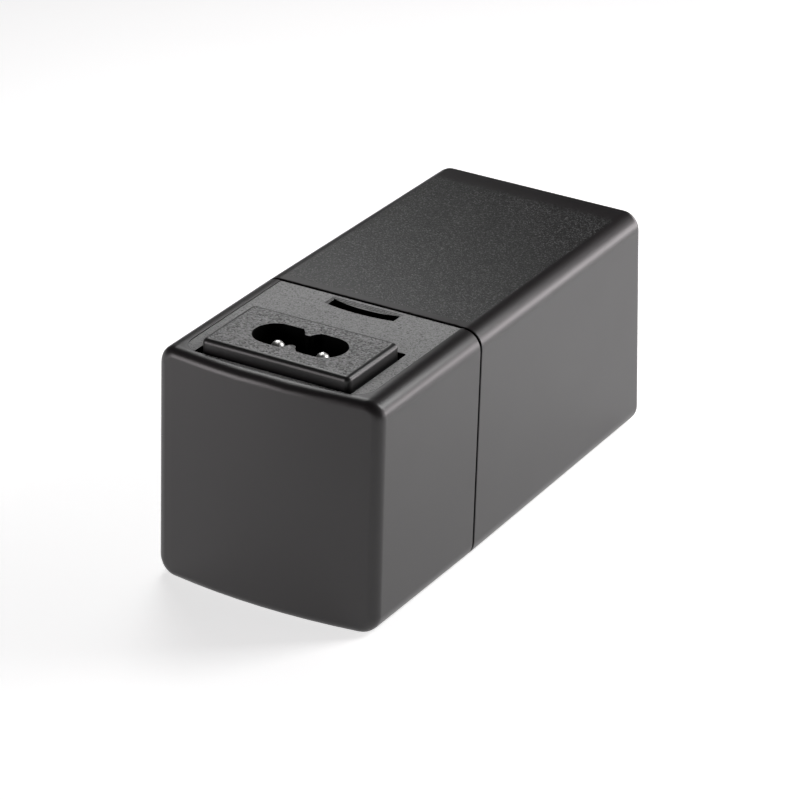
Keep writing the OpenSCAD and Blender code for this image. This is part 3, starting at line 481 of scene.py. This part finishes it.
def sleeved_can(name, node_name, sleeve_colour):
    """An electrolytic capacitor: a shrunk sleeve on the side, and the bare aluminium top inside its rim."""
    facing_up = 0.9
    material, shader = paint(name, sleeve_colour, 0.28)
    spot = wire(material, "TexCoord", {}, "Object")
    facing = wire(material, "SeparateXYZ", {0: wire(material, "NewGeometry", {}, "True Normal")}, 2)
    bare = wire(material, "Math", {0: facing, 1: facing_up}, operation="GREATER_THAN")
    long_spot = wire(material, "Mapping", {"Vector": spot, "Scale": (1, 1, 0.2)})
    creases = noise(material, long_spot, 0.0012, 3)
    plug_in(
        material, shader,
        Base_Color=shade(material, bare, sleeve_colour, (0.66, 0.66, 0.67)),
        Metallic=bare,
        Roughness=between(material, creases, 0.24, 0.36, noise_low, noise_high),
        Normal=wire(material, "Bump", {"Height": creases, "Distance": 2e-5}),
    )
    finish_in(node_name, material)


sleeved_can("bulk_sleeve", "bulk_capacitor", (0.018, 0.032, 0.07))

# Transformer
# Two ferrite core halves, ground on their faces, round a red moulded bobbin. The copper winding is
# wrapped in yellow polyester tape, whose turns overlap.
ferrite = moulded("core_ferrite", (0.05, 0.05, 0.054), 0.55, 0.00035, 1.2e-5, 0.2)
finish_in("transformer_core_left", ferrite)
finish_in("transformer_core_right", ferrite)
finish_in("transformer_bobbin", moulded("bobbin_red", (0.2, 0.035, 0.022), 0.42, 0.0003, 5e-6))
tape_lap = 0.005495
wave_repeat = 0.314
tape_yellow, tape_amber = (0.68, 0.43, 0.06), (0.5, 0.27, 0.03)
tape, tape_shader = paint("winding_tape", tape_yellow, 0.26, Coat_Weight=0.3)
spot = wire(tape, "TexCoord", {}, "Object")
laps = wire(
    tape, "TexWave", {"Vector": spot, "Scale": wave_repeat / tape_lap, "Distortion": 0.8}, 0,
    wave_profile="SAW",
)
wrinkles = noise(tape, spot, 0.0009, 3)
edges = wire(tape, "Bump", {"Height": laps, "Distance": 6e-5})
plug_in(
    tape, tape_shader,
    Base_Color=shade(tape, laps, tape_amber, tape_yellow),
    Roughness=between(tape, wrinkles, 0.2, 0.34, noise_low, noise_high),
    Normal=wire(tape, "Bump", {"Height": wrinkles, "Distance": 3e-5, "Normal": edges}),
)
finish_in("transformer_winding", tape)

# Y capacitor and optocoupler
# The two parts that cross from the mains side to the output: a dipped ceramic disc and a small epoxy
# package with two legs on each side.
finish_in("y_capacitor", moulded("y_capacitor_coat", (0.05, 0.16, 0.42), 0.24, coat_grain, coat_depth))
finish_in("optocoupler", moulded("optocoupler_epoxy", (0.02, 0.02, 0.021), 0.46, 0.0002, 5e-6))

# Output rectifier, output capacitors and output choke
# The secondary side: an epoxy package on its own aluminium plate, two sleeved cans, and a drum of
# ferrite wound with copper.
finish_in("secondary_heatsink", plate)
finish_in("output_rectifier", epoxy)
finish_in("rectifier_screw", screw_zinc)
sleeved_can("output_sleeve", "output_capacitors", (0.02, 0.045, 0.028))
wire_pitch = 0.0006
drum_wire, drum_shader = paint("drum_wire", (0.5, 0.2, 0.08), 0.3, Metallic=0.8)
spot = wire(drum_wire, "TexCoord", {}, "Object")
turns = wire(
    drum_wire, "TexWave", {"Vector": spot, "Scale": wave_repeat / wire_pitch}, 0, bands_direction="Z"
)
plug_in(
    drum_wire, drum_shader,
    # Painted shade: the wire is darker in the grooves between turns.
    Base_Color=shade(drum_wire, turns, painted_groove_shade, (0.6, 0.25, 0.1)),
    Roughness=between(drum_wire, turns, 0.42, 0.24),
    Normal=wire(drum_wire, "Bump", {"Height": turns, "Distance": 1e-4}),
)
finish_in("output_choke", drum_wire)

# Output contacts
# A black moulded block closes the window in the rear end. Three flat contacts in gold plated spring
# brass lie in its slots, and a lead runs from the tail of each to the board.
finish_in("contact_block", moulded("contact_nylon", (0.009, 0.009, 0.0095), 0.46, 0.00022, 8e-6))
contact_gold = rolled("contact_gold", (0.78, 0.56, 0.2), 0.22, (1, 1, 0.05), 2e-6)
for name in ("contact_positive", "contact_signal", "contact_negative"):
    finish_in(name, contact_gold)
finish_in("positive_lead", insulation("red_insulation", (0.42, 0.02, 0.015)))
finish_in("signal_lead", insulation("white_insulation", (0.68, 0.65, 0.55)))
finish_in("negative_lead", insulation("black_insulation", (0.013, 0.013, 0.013)))
